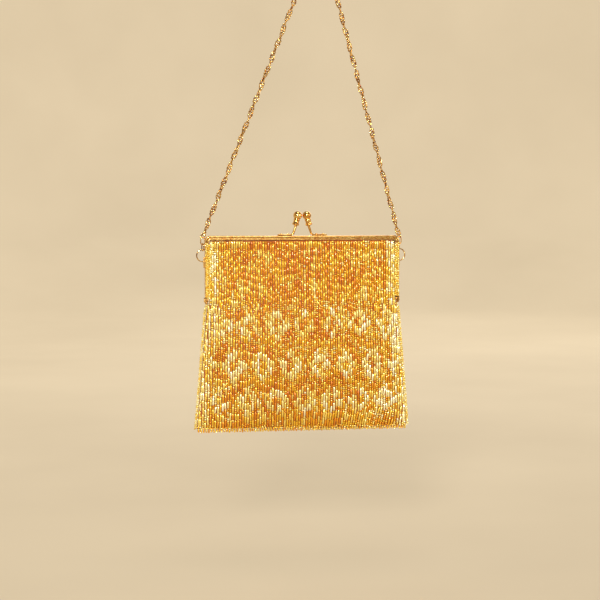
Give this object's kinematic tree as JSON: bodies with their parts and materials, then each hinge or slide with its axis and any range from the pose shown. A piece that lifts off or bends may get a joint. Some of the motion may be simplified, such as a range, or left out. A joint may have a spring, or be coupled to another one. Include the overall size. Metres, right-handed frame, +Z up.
{
  "type": "evening bag",
  "caption": "Beaded evening bag with a hinged metal kiss-lock frame, satin lining and a twisted chain handle joined by rings and links.",
  "frame": {"origin": "top of the chain handle's middle line, where a hand or a hook holds it", "axes": "+X to the bag's right as seen from the front, +Y towards the bag's back, +Z up"},
  "size_m": [0.1854, 0.0219, 0.3947],
  "materials": {
    "gold_metal": "polished gold-plated brass",
    "chain_metal": "gold-plated brass wire, slightly aged",
    "rivet_metal": "gold-plated brass, domed",
    "bead_glass": "amber and champagne silver-lined glass beads on cloth",
    "lining_satin": "champagne satin",
    "paper_cord": "twisted paper cord"
  },
  "bodies": {
    "handle": {"handle_chain": "chain_metal", "left_upper_link": "chain_metal", "right_upper_link": "chain_metal"},
    "strap_rings": {"left_lower_link": "chain_metal", "right_lower_link": "chain_metal", "left_strap_ring": "chain_metal", "right_strap_ring": "chain_metal"},
    "back_half": {"back_frame": "gold_metal", "back_paper_cord": "paper_cord", "back_clasp_tab": "gold_metal", "back_clasp_rivets": "rivet_metal", "left_ring_lug": "gold_metal", "right_ring_lug": "gold_metal", "left_hinge_pin": "rivet_metal", "right_hinge_pin": "rivet_metal", "back_beaded_panel": "bead_glass", "back_lining": "lining_satin", "slip_pocket": "lining_satin", "front_beaded_panel_fold": "bead_glass", "front_beaded_panel_lower": "bead_glass", "front_lining_fold": "lining_satin", "front_lining_lower": "lining_satin", "left_side_piping": "bead_glass", "right_side_piping": "bead_glass", "bottom_edging": "bead_glass"},
    "front_half": {"front_frame": "gold_metal", "front_paper_cord": "paper_cord", "front_clasp_tab": "gold_metal", "front_clasp_rivets": "rivet_metal", "front_beaded_panel_upper": "bead_glass", "front_lining_upper": "lining_satin"},
    "front_clasp": {"front_clasp_arm": "gold_metal", "front_clasp_collar": "gold_metal", "front_clasp_ball": "gold_metal"},
    "back_clasp": {"back_clasp_arm": "gold_metal", "back_clasp_collar": "gold_metal", "back_clasp_ball": "gold_metal"}
  },
  "joints": [
    {"name": "link_swing", "type": "hinge", "parent": "handle", "child": "strap_rings", "pos_m": [-0.0134, 0, -0.23369], "axis": [1, 0, 0], "range_deg": [-2, 60]},
    {"name": "bag_swing", "type": "hinge", "parent": "strap_rings", "child": "back_half", "pos_m": [-0.0134, 0, -0.248], "axis": [1, 0, 0], "range_deg": [-1, 100]},
    {"name": "frame_open", "type": "hinge", "parent": "back_half", "child": "front_half", "pos_m": [-0.0134, -0.0049, -0.2802], "axis": [1, 0, 0], "range_deg": [0, 65], "deforming": ["front_beaded_panel_fold", "front_lining_fold"]},
    {"name": "front_clasp_flex", "type": "hinge", "parent": "front_half", "child": "front_clasp", "pos_m": [-0.0218, -0.0067, -0.225], "axis": [0, -1, 0], "range_deg": [0, 3], "stiffness_Nm_per_rad": 0.02},
    {"name": "back_clasp_flex", "type": "hinge", "parent": "back_half", "child": "back_clasp", "pos_m": [-0.0056, -0.0031, -0.225], "axis": [0, 1, 0], "range_deg": [0, 3], "stiffness_Nm_per_rad": 0.02}
  ]
}
